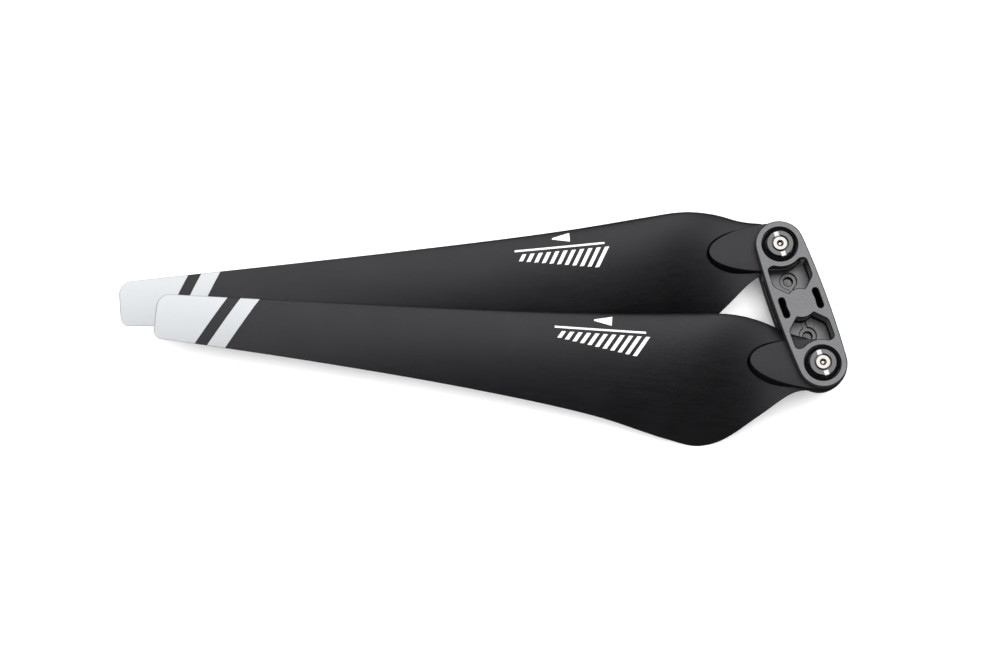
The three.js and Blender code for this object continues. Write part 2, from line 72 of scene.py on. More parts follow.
# Heights in the hub, from the motor face up.
BASE_TOP = 3.3
SPACER_TOP = 6
EAR_UNDERSIDE = 8.4
HUB_TOP = 11
RECESS_FLOOR = 9.9
COLLAR_TOP = 12.2

# Hub outline, windows and slots, in plan.
EAR_RADIUS = 8.9
WAIST_HALF_WIDTH = 9.75
EDGE_CHAMFER = 0.4
RIM_INSIDE = 7.6
PAD_RADIUS = 5.25
WINDOW_OUTER_X = 16.2
WINDOW_SHOULDER_X = 8.5
WINDOW_INNER_X = 4.5
WINDOW_INNER_Y = 3.4
WINDOW_OUTER_ROUNDING = 2
WINDOW_SHOULDER_ROUNDING = 1
WINDOW_SOFTENING = 0.3
PIVOT_WALL_RADIUS = 8.4
SLOT_LENGTH = 8.3
SLOT_WIDTH = 2.75
SLOT_OFFSET = 6.4
SLOT_SOFTENING = 0.25
SKIRT_OPEN_A_X = -13
SKIRT_OPEN_B_X = 5.4
SKIRT_MIDDLE_X = 9.2
SKIRT_CLOSED_X = 18
SKIRT_INSET = 0.4
SPACER_INSET = 0.6
BOSS_CLEARANCE_RADIUS = 10.2
HOLE_CHAMFER = 0.3

# Motor screw holes, clamp screws and spacer.
MOTOR_HOLE_X = 10.75
MOTOR_HOLE_RADIUS = 1.6
MOTOR_COUNTERBORE_RADIUS = 3
MOTOR_COUNTERBORE_DEPTH = 0.8
GROOVE_WIDTH = 1.6
GROOVE_START_X = 4.6
CLAMP_Y = 3.2
CLAMP_HOLE_RADIUS = 1.35
CLAMP_HOLE_TOP = 9.2
CLAMP_SCREW_RADIUS = 1.2
CLAMP_SCREW_TOP = 8.8
CLAMP_HEAD_RADIUS = 2.3
CLAMP_HEAD_BOTTOM = 0.15
CLAMP_SEAT_GAP = 0.2
CLAMP_SOCKET = 1.5
CLAMP_SOCKET_DEPTH = 0.9

# Pivot hardware, from the shaft outwards.
SHAFT_RADIUS = 2.5
SHAFT_HOLE_RADIUS = 2.65
SHAFT_TOP = 10.3
SHAFT_BORE_RADIUS = 1.6
SHAFT_BORE_FLOOR = 4.5
SHAFT_HEAD_RADIUS = 4.2
SHAFT_HEAD_FLAT = 3.4
SHAFT_HEAD_BOTTOM = 0.15
SHAFT_HEAD_TOP = 1.3
HEAD_POCKET_TOP = 1.4
HEAD_POCKET_GAP = 0.2
SCREW_RADIUS = 1.45
SCREW_BOTTOM = 5
SCREW_HEAD_RADIUS = 2.65
SCREW_HEAD_BOTTOM = 11.1
SCREW_HEAD_TOP = 12.15
SCREW_SOCKET = 2
SCREW_SOCKET_DEPTH = 0.8
COLLAR_RADIUS = 4.9
COLLAR_BOTTOM = 10.4
COLLAR_SEAT = 11.02
COLLAR_BORE_RADIUS = 3.05
COLLAR_WEB_RADIUS = 1.75
SPANNER_SLOT_WIDTH = 2
SPANNER_SLOT_DEPTH = 0.8
RECESS_RADIUS = 6.45
RING_OUTER_RADIUS = 6.3
RING_INNER_RADIUS = 5.05
RING_TOP = 10.75
WASHER_POCKET_RADIUS = 5.75
WASHER_POCKET_DEPTH = 0.3
BUSH_HOLE_RADIUS = 3.82

# Blade root and plan, as distances from the pivot along the blade and offsets square to it.
ROOT_BOTTOM = 3.7
ROOT_TOP = 8
ROOT_RADIUS = 9.25
TONGUE_LENGTH = 25.5
TRENCH_WIDTH = 0.75
TRENCH_SHIFT = (0.25, 0.4)
TRENCH_FLOOR = 5
TRENCH_FALL = 0.05
FOOT_HEIGHT = 4.73
TRENCH_START = 9.5
TRENCH_TAPER = (8, 17)
TRENCH_LEAST_SHARE = 0.15
TONGUE_ROUNDING = 0.3
FOOT_INSET = 0.1
FOOT_DEPTH = 0.4
FOOT_TOP_INSET = 0.09
FOOT_TOP_DROP = 0.35
LEADING_EDGE = [
    (0, 9.2), (12, 11.4), (21, 14.2), (30, 15.3), (45, 14.6), (80, 12.2), (140, 9.9), (BLADE_LENGTH, 7.1),
]
TRAILING_EDGE = [
    (0, 9.2), (8, 10.1), (20, 18.7), (32, 27.2), (41, 30.1), (52, 29.1), (78, 23.8), (122, 18.2),
    (180, 13.1), (BLADE_LENGTH, 8.9),
]
MAX_THICKNESS = [
    (0, 2.9), (24, 3.1), (45, 4.8), (75, 3.6), (115, 2.2), (180, 1.15), (BLADE_LENGTH, 0.75),
]
CAMBER_RATIO = [
    (0, 0), (12, 0.01), (24, 0.055), (45, 0.08), (90, 0.06), (140, 0.045), (190, 0.018),
    (BLADE_LENGTH, 0.006),
]
# The section's half thickness over its greatest thickness, as the factors of the chord fraction's
# square root and of its first to fourth powers.
SECTION_SHAPE = (1.4845, -0.63, -1.758, 1.4215, -0.518)
LEADING_TIP_RADIUS = 4.5
TRAILING_TIP_RADIUS = 2.6
TIP_ROUNDING = 0.5
TIP_THINNING = 0.9
TIP_STEPS = 16
CHORD_HEIGHT = [(0, 5.3), (10, 5), (24, 3.6), (45, 4.4), (80, 5.2), (130, 5.3), (BLADE_LENGTH, 5.3)]
TWIST_START = 8
TWIST_FULL = 42
TIP_SLOPE = 0.13
TRAILING_EDGE_THICKNESS = 0.4
LOFT_START = 5

# Paint and print on the blade. The paint's edges slant: a point ahead of the axis lies nearer the root.
PAINT_SLANT = 0.6
PAINT_TIP_START = 222
STRIPE_END = 217.2
STRIPE_START = 210.2
PAINT_LIFT = 0.03
PAINT_SINK = 0.03

# The pointer and the rule: distances from the pivot where each starts and ends, then its two offsets
# ahead of the axis.
POINTER = (76, 82.5, 11, 7.6)
RULE = (63.5, 96.5, 6.2, 5.5)
BAR_COUNT = 11
BARS_START = 64
BARS_AHEAD = 4.4
BAR_PITCH = 2.9
BAR_WIDTH = 1.5
BAR_LONGEST = 7
BAR_SHORTEST = 2.4
PRINT_LIFT = 0.03
PRINT_SINK = 0.03

SEGMENTS = 96
SECTION_STEPS = 40
STATION_GAP = 1.6

# ---- mesh helpers ----------------------------------------------------------------------------------


def mesh_object(name, points, faces):
    mesh = bpy.data.meshes.new(name)
    mesh.from_pydata([tuple(map(float, p)) for p in points], [], faces)
    mesh.update()
    made = bpy.data.objects.new(name, mesh)
    bpy.context.scene.collection.objects.link(made)
    return made


def skin(name, rings, loop=False):
    """A closed solid over rings of points: with flat ends, or joined end to start if loop is true."""
    count = len(rings[0])
    total = len(rings)
    faces = []
    for s in range(total if loop else total - 1):
        here = s * count
        above = (s + 1) % total * count
        for k in range(count):
            after = (k + 1) % count
            faces.append((here + k, here + after, above + after, above + k))
    if not loop:
        faces.append(tuple(reversed(range(count))))
        faces.append(tuple(range((total - 1) * count, total * count)))
    return mesh_object(name, np.concatenate(rings), faces)


def turned(name, profile, segments=SEGMENTS):
    """A body turned about Z from [radius, height] points: closed on itself, or starting on the axis."""
    angles = np.arange(segments) * 2 * math.pi / segments
    rings = [
        np.c_[radius * np.cos(angles), radius * np.sin(angles), np.full(segments, float(height))]
        for radius, height in profile
        if radius > 0
    ]
    return skin(name, rings, loop=profile[0][0] > 0)


def arc(x, y, radius, start, end, steps):
    angles = np.linspace(start, end, steps)
    return np.c_[x + radius * np.cos(angles), y + radius * np.sin(angles)]


def grown(outline, distance):
    """A closed anticlockwise outline moved outwards by a distance."""
    def across(step):
        unit = step / np.linalg.norm(step, axis=1, keepdims=True)
        return np.c_[unit[:, 1], -unit[:, 0]]
    before = across(outline - np.roll(outline, 1, axis=0))
    after = across(np.roll(outline, -1, axis=0) - outline)
    mitre = (before + after) / (1 + (before * after).sum(axis=1))[:, None]
    return outline + distance * mitre


def loft(name, outline, profile):
    """A solid with the outline grown by each [offset, height] of the profile, listed upwards."""
    return skin(name, [np.c_[grown(outline, d), np.full(len(outline), float(h))] for d, h in profile])


def even(outline, gap):
    """The closed outline with points an even distance apart."""
    closed = np.vstack([outline, outline[:1]])
    along = np.concatenate([[0], np.cumsum(np.linalg.norm(np.diff(closed, axis=0), axis=1))])
    at = np.linspace(0, along[-1], max(8, round(along[-1] / gap)), endpoint=False)
    return np.c_[np.interp(at, along, closed[:, 0]), np.interp(at, along, closed[:, 1])]


def softened(outline, width, gap=0.12):
    """The closed outline with its corners rounded by a blur of that width along its length."""
    points = even(outline, gap)
    reach = math.ceil(3 * width / gap)
    weights = np.exp(-0.5 * (np.arange(-reach, reach + 1) * gap / width) ** 2)
    blurred = sum(w * np.roll(points, k - reach, axis=0) for k, w in enumerate(weights))
    return even(blurred / weights.sum(), 2 * gap)


def combine(base, tool, operation):
    """The base solid after a boolean with the tool, which is used up."""
    step = base.modifiers.new("step", "BOOLEAN")
    step.operation = operation
    step.solver = "EXACT"
    step.object = tool
    evaluated = base.evaluated_get(bpy.context.evaluated_depsgraph_get())
    mesh = bpy.data.meshes.new_from_object(evaluated)
    base.modifiers.clear()
    base.data = mesh
    bpy.data.objects.remove(tool)
    return base


def cut(base, *tools):
    for tool in tools:
        combine(base, tool, "DIFFERENCE")
    return base


def moved(piece, x=0, y=0, z=0, turn=0):
    """The piece's mesh turned about Z by degrees, then shifted."""
    turning = Matrix.Rotation(math.radians(turn), 4, "Z")
    piece.data.transform(Matrix.Translation((x, y, z)) @ turning)
    return piece


def at_both_ends(make):
    """The solid that make() returns at +X, and another turned half round about Z."""
    return [make(), moved(make(), turn=180)]


def finished(piece, body, material, slot, *nodes, sharp=32):
    """Scales the piece to metres, smooths it, gives it its material and joins it to its CAD body."""
    piece.data.transform(Matrix.Scale(MM, 4))
    piece.data.shade_smooth()
    piece.data.set_sharp_from_angle(angle=math.radians(sharp))
    piece.data.materials.clear()
    piece.data.materials.append(material)
    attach(piece, body)
    if nodes:
        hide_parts(*nodes)
    return piece


def disc(radius, bottom, top):
    return turned("cutter", [(0, bottom), (radius, bottom), (radius, top), (0, top)])


def flared_hole(radius, bottom, top):
    """A cutter for a round hole up through a face at height top, with its edge broken by a chamfer."""
    wide = radius + HOLE_CHAMFER + 1
    return turned("cutter", [
        (0, bottom), (radius, bottom), (radius, top - HOLE_CHAMFER), (wide, top + 1), (0, top + 1),
    ])


def hex_cutter(across_flats, bottom, top):
    radius = across_flats / math.sqrt(3)
    return turned("cutter", [(0, bottom), (radius, bottom), (radius, top), (0, top)], segments=6)


# ---- blade -----------------------------------------------------------------------------------------
# In the blade's own frame the pivot is the origin, the blade runs along +X, and the leading edge is on
# the -Y side.


def smooth_value(pairs, position):
    """A smooth curve through (position, value) pairs, read at one position."""
    last = len(pairs) - 1
    index = 0
    while index < last - 1 and position > pairs[index + 1][0]:
        index += 1

    def rise(k):
        return (pairs[k + 1][1] - pairs[k][1]) / (pairs[k + 1][0] - pairs[k][0])

    def tangent(k):
        if k == 0:
            return rise(0)
        if k == last:
            return rise(last - 1)
        return (rise(k - 1) + rise(k)) / 2

    (start, start_value), (end, end_value) = pairs[index], pairs[index + 1]
    span = end - start
    u = (position - start) / span
    return (
        start_value * (2 * u**3 - 3 * u**2 + 1)
        + span * tangent(index) * (u**3 - 2 * u**2 + u)
        + end_value * (3 * u**2 - 2 * u**3)
        + span * tangent(index + 1) * (u**3 - u**2)
    )


def tip_pull_in(r, radius):
    """How far a rounded tip corner pulls an edge in at distance r from the pivot."""
    into = min(radius, max(0, r - (BLADE_LENGTH - radius)))
    return radius - math.sqrt(radius**2 - into**2)


def edges(r):
    """Offsets of the leading edge ahead of the axis and of the trailing edge behind it."""
    ahead = smooth_value(LEADING_EDGE, r) - tip_pull_in(r, LEADING_TIP_RADIUS)
    behind = smooth_value(TRAILING_EDGE, r) - tip_pull_in(r, TRAILING_TIP_RADIUS)
    return ahead, behind


def chord_slope(r):
    t = min(1, max(0, (r - TWIST_START) / (TWIST_FULL - TWIST_START)))
    helix = PITCH / (2 * math.pi * (r + PIVOT_X))
    return t * t * (3 - 2 * t) * math.hypot(helix, TIP_SLOPE)


def surface_height(r, fraction, side, swell=1):
    """Height of the upper (side 1) or lower (side -1) surface at a fraction of the chord."""
    ahead, behind = edges(r)
    chord = ahead + behind
    offset = ahead - chord * fraction
    camber = 4 * smooth_value(CAMBER_RATIO, r) * chord * fraction * (1 - fraction)
    root, first, second, third, fourth = SECTION_SHAPE
    rounded = (
        root * math.sqrt(fraction) + first * fraction + second * fraction**2
        + third * fraction**3 + fourth * fraction**4
    )
    half = smooth_value(MAX_THICKNESS, r) * rounded + TRAILING_EDGE_THICKNESS / 2 * fraction
    return smooth_value(CHORD_HEIGHT, r) + chord_slope(r) * offset + camber + side * half * swell


def section(r, slant=0, swell=1):
    """One closed section: leading edge, back over the upper side, forward along the lower side.

    With a slant, points ahead of the blade's axis lie nearer the root. Swell thins the section."""
    ring = []
    steps = [(k, 1) for k in range(SECTION_STEPS + 1)] + [(k, -1) for k in range(SECTION_STEPS, 0, -1)]
    for step, side in steps:
        fraction = (1 - math.cos(math.pi * step / SECTION_STEPS)) / 2
        at = r
        for _ in range(3):
            ahead, behind = edges(at)
            offset = ahead - (ahead + behind) * fraction
            at = min(BLADE_LENGTH, r - slant * offset)
        ring.append((at, -offset, surface_height(at, fraction, side, swell)))
    return np.array(ring)


def lifted(ring, distance):
    """A section's ring moved outwards, square to its surface."""
    along = np.roll(ring, -1, axis=0) - np.roll(ring, 1, axis=0)
    outward = np.c_[np.zeros(len(ring)), -along[:, 2], along[:, 1]]
    return ring + distance * outward / np.linalg.norm(outward, axis=1, keepdims=True)


def tip_stations():
    """Stations over the rounded tip, closing up on the end."""
    start = BLADE_LENGTH - LEADING_TIP_RADIUS
    turns = [math.pi / 2 * k / TIP_STEPS for k in range(1, TIP_STEPS + 1)]
    return [start + LEADING_TIP_RADIUS * math.sin(turn) for turn in turns]


def tip_swell(r):
    """Thins the last sections before the end, which rounds the tip."""
    into = min(1, max(0, (r - (BLADE_LENGTH - TIP_ROUNDING)) / TIP_ROUNDING))
    return math.sqrt(1 - TIP_THINNING * into**2)


def aerofoil():
    inner = list(np.arange(LOFT_START, BLADE_LENGTH - LEADING_TIP_RADIUS, STATION_GAP))
    return skin("blade", [section(r, swell=tip_swell(r)) for r in inner + tip_stations()])


def tongue_outline():
    """Round behind the pivot, and elliptical along the blade."""
    quarter = math.pi / 2
    front = arc(0, 0, 1, -quarter, quarter, 61) * (TONGUE_LENGTH, ROOT_RADIUS)
    back = arc(0, 0, ROOT_RADIUS, quarter, 3 * quarter, 49)
    return even(np.vstack([front, back[1:-1]]), 0.5)


def tongue():
    """The flat part between the washers, with its edges rounded."""
    corner = [
        (-TONGUE_ROUNDING * (1 - math.sin(t)), TONGUE_ROUNDING * (1 - math.cos(t)))
        for t in np.linspace(0, math.pi / 2, 4)
    ]
    rise = [(d, ROOT_BOTTOM + h) for d, h in corner]
    fall = [(d, ROOT_TOP - h) for d, h in reversed(corner)]
    return loft("tongue", tongue_outline(), rise + fall)


def outside_hub(made):
    """The part of a solid round the tongue that lies clear of the hub."""
    reach = 2 * TRENCH_START
    hub = np.array([(-reach, -reach), (TRENCH_START, -reach), (TRENCH_START, reach), (-reach, reach)])
    return cut(made, loft("tool", hub, [(0, 0), (0, 2 * HUB_TOP)]))


def round_tongue(width):
    """The tongue's outline grown by a width and shifted back a little. It tapers in at the hub."""
    outline = tongue_outline()
    wide = grown(outline + TRENCH_SHIFT, width)
    start, full = TRENCH_TAPER
    share = np.clip((outline[:, :1] - start) / (full - start), TRENCH_LEAST_SHARE, 1)
    return outline + (wide - outline) * share


def trench():
    """A cutter for the trench round the tongue's outer part. Its floor falls to the trailing side."""
    outline = round_tongue(TRENCH_WIDTH)
    floor = TRENCH_FLOOR - TRENCH_FALL * outline[:, 1]
    top = np.full(len(outline), HUB_TOP + 1.0)
    return outside_hub(skin("cutter", [np.c_[outline, floor], np.c_[outline, top]]))


def tongue_foot():
    """The tongue's sloping wall in the trench, which reaches out further on the trailing side."""
    wide = round_tongue(TRENCH_WIDTH - FOOT_INSET)
    narrow = grown(tongue_outline(), -FOOT_TOP_INSET)
    rings = [(wide, FOOT_HEIGHT - FOOT_DEPTH), (wide, FOOT_HEIGHT), (narrow, ROOT_TOP - FOOT_TOP_DROP)]
    return outside_hub(skin("foot", [np.c_[ring, np.full(len(ring), z)] for ring, z in rings]))


def blade():
    made = cut(aerofoil(), trench())
    combine(made, tongue_foot(), "UNION")
    combine(made, tongue(), "UNION")
    return cut(made, disc(BUSH_HOLE_RADIUS, 0, HUB_TOP))


def paint_band(start, end):
    """A film of paint right round the blade between two slanted edges."""
    stations = np.linspace(start, end, 8)
    outer = [lifted(section(r, PAINT_SLANT), PAINT_LIFT) for r in stations]
    inner = [lifted(section(r, PAINT_SLANT), -PAINT_SINK) for r in stations[::-1]]
    return skin("paint", (outer + inner)[::-1], loop=True)


def tip_paint():
    """The film over the tip: its inner edge slants, and its outer end follows the rounded tip."""
    straight = BLADE_LENGTH - LEADING_TIP_RADIUS
    slanted = np.linspace(PAINT_TIP_START, straight, 14)
    share = [(straight - r) / (straight - PAINT_TIP_START) for r in slanted]
    sections = [section(r, PAINT_SLANT * s) for r, s in zip(slanted, share)]
    sections += [section(r, swell=tip_swell(r)) for r in tip_stations()]
    outer = [lifted(ring, PAINT_LIFT) for ring in sections]
    inner = [lifted(ring, -PAINT_SINK) for ring in sections[::-1]]
    for ring in inner:
        ring[:, 0] = np.minimum(ring[:, 0], BLADE_LENGTH - PAINT_SINK)
    return skin("paint", (outer + inner)[::-1], loop=True)


def mark_strip(near, far, ahead, behind, lean=0, taper=1):
    """Rings along one printed mark, from distance near to far, between two offsets ahead of the axis.

    With a lean, points ahead of the axis lie nearer the root. Taper narrows the far end."""
    centre = (ahead + behind) / 2
    rings = []
    for share in np.linspace(0, 1, 2 + round((far - near) / 1.5)):
        half = (ahead - behind) / 2 * (1 + share * (taper - 1))
        upper = []
        for offset in np.linspace(centre + half, centre - half, 2 + round((ahead - behind) / 1.5)):
            r = near + share * (far - near) - lean * (offset - centre)
            front, back = edges(r)
            upper.append((r, -offset, surface_height(r, (front - offset) / (front + back), 1)))
        upper = np.array(upper)
        rings.append(np.vstack([upper + (0, 0, PRINT_LIFT), upper[::-1] - (0, 0, PRINT_SINK)]))
    return rings


def blade_marks():
    """The print: a pointer, a thin rule, and a row of leaning bars that get shorter towards the tip."""
    strips = [mark_strip(*POINTER, taper=0.15), mark_strip(*RULE)]
    for index in range(BAR_COUNT):
        near = BARS_START + index * BAR_PITCH
        length = BAR_LONGEST - index * (BAR_LONGEST - BAR_SHORTEST) / (BAR_COUNT - 1)
        strips.append(
            mark_strip(near, near + BAR_WIDTH, BARS_AHEAD, BARS_AHEAD - length, lean=PAINT_SLANT))
    pieces = [skin(f"mark_{index}", rings) for index, rings in enumerate(strips)]
    for other in pieces[1:]:
        combine(pieces[0], other, "UNION")
    return pieces[0]


# ---- hub plates ------------------------------------------------------------------------------------


def hub_outline():
    """Round ears about the pivots, joined by sides that bow out slightly to the waist."""
    bow = WAIST_HALF_WIDTH - EAR_RADIUS
    centre_drop = (PIVOT_X**2 - bow**2) / (2 * bow)
    side_radius = centre_drop + WAIST_HALF_WIDTH
    lean = math.atan2(PIVOT_X, centre_drop)
    quarter = math.pi / 2
    return even(np.vstack([
        arc(PIVOT_X, 0, EAR_RADIUS, -quarter + lean, quarter - lean, 64)[:-1],
        arc(0, -centre_drop, side_radius, quarter - lean, quarter + lean, 48)[:-1],
        arc(-PIVOT_X, 0, EAR_RADIUS, quarter + lean, 3 * quarter - lean, 64)[:-1],
        arc(0, centre_drop, side_radius, -quarter - lean, -quarter + lean, 48)[:-1],
    ]), 0.5)


def bend(before, corner, after, rounding):
    """Points round a corner, on a curve that starts and ends that far from it."""
    corner = np.array(corner, float)
    start, end = (np.subtract(other, corner) for other in (before, after))
    start = corner + rounding * start / np.linalg.norm(start)
    end = corner + rounding * end / np.linalg.norm(end)
    steps = np.linspace(0, 1, 9)
    return np.array([(1 - t) ** 2 * start + 2 * t * (1 - t) * corner + t**2 * end for t in steps])


def window_outline():
    """The window at pivot B's end: it follows the round pad, the rim and the round pivot wall."""
    pad_angle = math.atan2(WINDOW_INNER_Y, WINDOW_INNER_X)
    wall_y = math.sqrt(PIVOT_WALL_RADIUS**2 - (PIVOT_X - WINDOW_OUTER_X) ** 2)
    wall_angle = math.atan2(wall_y, PIVOT_X - WINDOW_OUTER_X)
    inner = (WINDOW_INNER_X, WINDOW_INNER_Y)
    shoulder = (WINDOW_SHOULDER_X, RIM_INSIDE)
    outer = (WINDOW_OUTER_X, RIM_INSIDE)
    upper = np.vstack([
        bend((WINDOW_OUTER_X, 0), outer, shoulder, WINDOW_OUTER_ROUNDING),
        bend(outer, shoulder, inner, WINDOW_SHOULDER_ROUNDING),
    ])
    return np.vstack([
        upper[::-1] * (1, -1),
        arc(PIVOT_X, 0, PIVOT_WALL_RADIUS, math.pi + wall_angle, math.pi - wall_angle, 40),
        upper,
        arc(0, 0, PAD_RADIUS, pad_angle, -pad_angle, 24),
    ])


def slot_outline():
    half = SLOT_LENGTH / 2 - SLOT_WIDTH / 2
    radius = SLOT_WIDTH / 2
    inner = SLOT_OFFSET - radius
    touch = math.acos(inner / PAD_RADIUS)
    quarter = math.pi / 2
    return np.vstack([
        arc(half, SLOT_OFFSET, radius, -quarter, quarter, 24),
        arc(-half, SLOT_OFFSET, radius, quarter, 3 * quarter, 24),
        arc(0, 0, PAD_RADIUS, quarter + touch, quarter - touch, 16)[1:-1],
    ])


def opening_cutter(outline, bottom, top):
    """A cutter for an opening up through the face at height top. The outline is its chamfer's rim."""
    return loft("cutter", outline, [
        (-HOLE_CHAMFER, bottom), (-HOLE_CHAMFER, top - HOLE_CHAMFER), (0.5, top + 0.5),
    ])


def plate(name, bottom, top):
    return loft(name, hub_outline(), [
        (-EDGE_CHAMFER, bottom), (0, bottom + EDGE_CHAMFER),
        (0, top - EDGE_CHAMFER), (-EDGE_CHAMFER, top),
    ])


def middle(name, bottom, top, growth):
    """The part of the hub between the plates, grown by growth: closed along +Y, and open along -Y where
    the folded blades come out."""
    reach = WAIST_HALF_WIDTH + 1
    closed = SKIRT_CLOSED_X + growth
    filled = np.array([
        (SKIRT_OPEN_A_X - growth, -reach), (SKIRT_OPEN_B_X + growth, -reach), (SKIRT_MIDDLE_X + growth, 0),
        (closed, 0), (closed, reach), (-closed, reach), (-closed, 0),
    ])
    made = loft(name, hub_outline(), [(growth, bottom), (growth, top)])
    combine(made, loft("tool", filled, [(0, bottom - 1), (0, top + 1)]), "INTERSECT")
    clearance = BOSS_CLEARANCE_RADIUS - growth
    return cut(made, *at_both_ends(lambda: moved(disc(clearance, 0, HUB_TOP), x=PIVOT_X)))


def hub_top_plate():
    below = SPACER_TOP - 1
    window = softened(window_outline(), WINDOW_SOFTENING)
    slot = softened(slot_outline(), SLOT_SOFTENING)
    made = plate("hub_top_plate_fine", EAR_UNDERSIDE, HUB_TOP)
    combine(made, middle("skirt", SPACER_TOP, EAR_UNDERSIDE + 2 * EDGE_CHAMFER, -SKIRT_INSET), "UNION")
    pocket_top = EAR_UNDERSIDE + WASHER_POCKET_DEPTH
    for make in (
        lambda: moved(flared_hole(RECESS_RADIUS, RECESS_FLOOR, HUB_TOP), x=PIVOT_X),
        lambda: moved(disc(SHAFT_HOLE_RADIUS, below, HUB_TOP), x=PIVOT_X),
        lambda: moved(disc(WASHER_POCKET_RADIUS, below, pocket_top), x=PIVOT_X),
        lambda: opening_cutter(window, below, HUB_TOP),
        lambda: opening_cutter(slot, below, HUB_TOP),
        lambda: moved(disc(CLAMP_HOLE_RADIUS, below, CLAMP_HOLE_TOP), y=CLAMP_Y),
    ):
        cut(made, *at_both_ends(make))
    return made


def flatted_disc(radius, flat, bottom, top):
    """A disc with one side cut flat, facing +X."""
    made = disc(radius, bottom, top)
    side = np.array([(flat, -2 * radius), (2 * radius, -2 * radius), (2 * radius, 2 * radius),
                     (flat, 2 * radius)])
    return cut(made, loft("tool", side, [(0, bottom - 1), (0, top + 1)]))


def groove_cutter(floor, above):
    """The groove from the counterbore towards the middle of the hub."""
    half = GROOVE_WIDTH / 2
    edge = 0.2
    sides = np.array([(GROOVE_START_X, -half), (MOTOR_HOLE_X, -half), (MOTOR_HOLE_X, half),
                      (GROOVE_START_X, half)])
    return loft("cutter", sides, [(0, floor), (0, BASE_TOP - edge), (above - BASE_TOP, above - edge)])


def clamp_head(gap):
    """The countersunk head's cone, grown by gap for the seat that it lies in."""
    bottom = -1 if gap > 0 else CLAMP_HEAD_BOTTOM
    rim = CLAMP_HEAD_RADIUS + gap
    edge = CLAMP_HEAD_BOTTOM + gap
    return turned("head", [
        (0, bottom), (rim, bottom), (rim, edge), (0.05, edge + rim - 0.05), (0, edge + rim),
    ])


def hub_base_plate():
    above = BASE_TOP + 1
    floor = BASE_TOP - MOTOR_COUNTERBORE_DEPTH
    pocket = BASE_TOP - WASHER_POCKET_DEPTH
    made = plate("hub_base_plate_fine", 0, BASE_TOP)
    head_radius = SHAFT_HEAD_RADIUS + HEAD_POCKET_GAP
    head_flat = SHAFT_HEAD_FLAT + HEAD_POCKET_GAP
    for make in (
        lambda: groove_cutter(floor, above),
        lambda: moved(flared_hole(MOTOR_COUNTERBORE_RADIUS, floor, BASE_TOP), x=MOTOR_HOLE_X),
        lambda: moved(flared_hole(MOTOR_HOLE_RADIUS, -1, floor), x=MOTOR_HOLE_X),
        lambda: moved(disc(SHAFT_HOLE_RADIUS, -1, above), x=PIVOT_X),
        lambda: moved(disc(WASHER_POCKET_RADIUS, pocket, above), x=PIVOT_X),
        lambda: moved(flatted_disc(head_radius, head_flat, -1, HEAD_POCKET_TOP), x=PIVOT_X),
        lambda: moved(clamp_head(CLAMP_SEAT_GAP), y=CLAMP_Y),
        lambda: moved(disc(CLAMP_HOLE_RADIUS, -1, above), y=CLAMP_Y),
    ):
        cut(made, *at_both_ends(make))
    return made


def hub_spacer():
    """The black filling of the middle, between the plates. It closes the slots from below."""
    window = softened(window_outline(), WINDOW_SOFTENING)
    below = BASE_TOP - 1
    above = SPACER_TOP + 1
    made = middle("hub_spacer_fine", BASE_TOP, SPACER_TOP, -SPACER_INSET)
    cut(made, *at_both_ends(lambda: opening_cutter(window, below, above)))
    return cut(made, *at_both_ends(lambda: moved(disc(CLAMP_HOLE_RADIUS, below, above), y=CLAMP_Y)))


# ---- fasteners and pivot hardware ------------------------------------------------------------------


def clamp_screw(name):
    made = clamp_head(0)
    made.name = name
    shank = disc(CLAMP_SCREW_RADIUS, CLAMP_HEAD_BOTTOM + 1, CLAMP_SCREW_TOP)
    combine(made, shank, "UNION")
    return cut(made, hex_cutter(CLAMP_SOCKET, -1, CLAMP_HEAD_BOTTOM + CLAMP_SOCKET_DEPTH))


def pivot_shaft(name):
    made = flatted_disc(SHAFT_HEAD_RADIUS, SHAFT_HEAD_FLAT, SHAFT_HEAD_BOTTOM, SHAFT_HEAD_TOP)
    made.name = name
    combine(made, disc(SHAFT_RADIUS, SHAFT_HEAD_BOTTOM + 0.3, SHAFT_TOP), "UNION")
    return cut(made, disc(SHAFT_BORE_RADIUS, SHAFT_BORE_FLOOR, SHAFT_TOP + 1))


def pivot_screw(name):
    rounding = 0.3
    crown = [
        (SCREW_HEAD_RADIUS - rounding * (1 - math.cos(t)), SCREW_HEAD_TOP - rounding * (1 - math.sin(t)))
        for t in np.linspace(0, math.pi / 2, 5)
    ]
    made = turned(name, [
        (0, SCREW_BOTTOM), (SCREW_RADIUS, SCREW_BOTTOM), (SCREW_RADIUS, SCREW_HEAD_BOTTOM),
        (SCREW_HEAD_RADIUS, SCREW_HEAD_BOTTOM), *crown, (0, SCREW_HEAD_TOP),
    ])
    mouth = turned("cutter", [
        (0, SCREW_HEAD_TOP - 0.2), (SCREW_SOCKET / 2 + 0.05, SCREW_HEAD_TOP - 0.2),
        (SCREW_SOCKET / 2 + 0.55, SCREW_HEAD_TOP + 0.3), (0, SCREW_HEAD_TOP + 0.3),
    ])
    deepest = SCREW_HEAD_TOP - SCREW_SOCKET_DEPTH
    seat = deepest + SCREW_SOCKET_DEPTH / 2
    drilled = turned("cutter", [(0, deepest), (0.5, deepest), (SCREW_SOCKET / 2 + 0.1, seat), (0, seat)])
    socket = hex_cutter(SCREW_SOCKET, seat - 0.01, SCREW_HEAD_TOP + 1)
    return cut(made, socket, mouth, drilled)


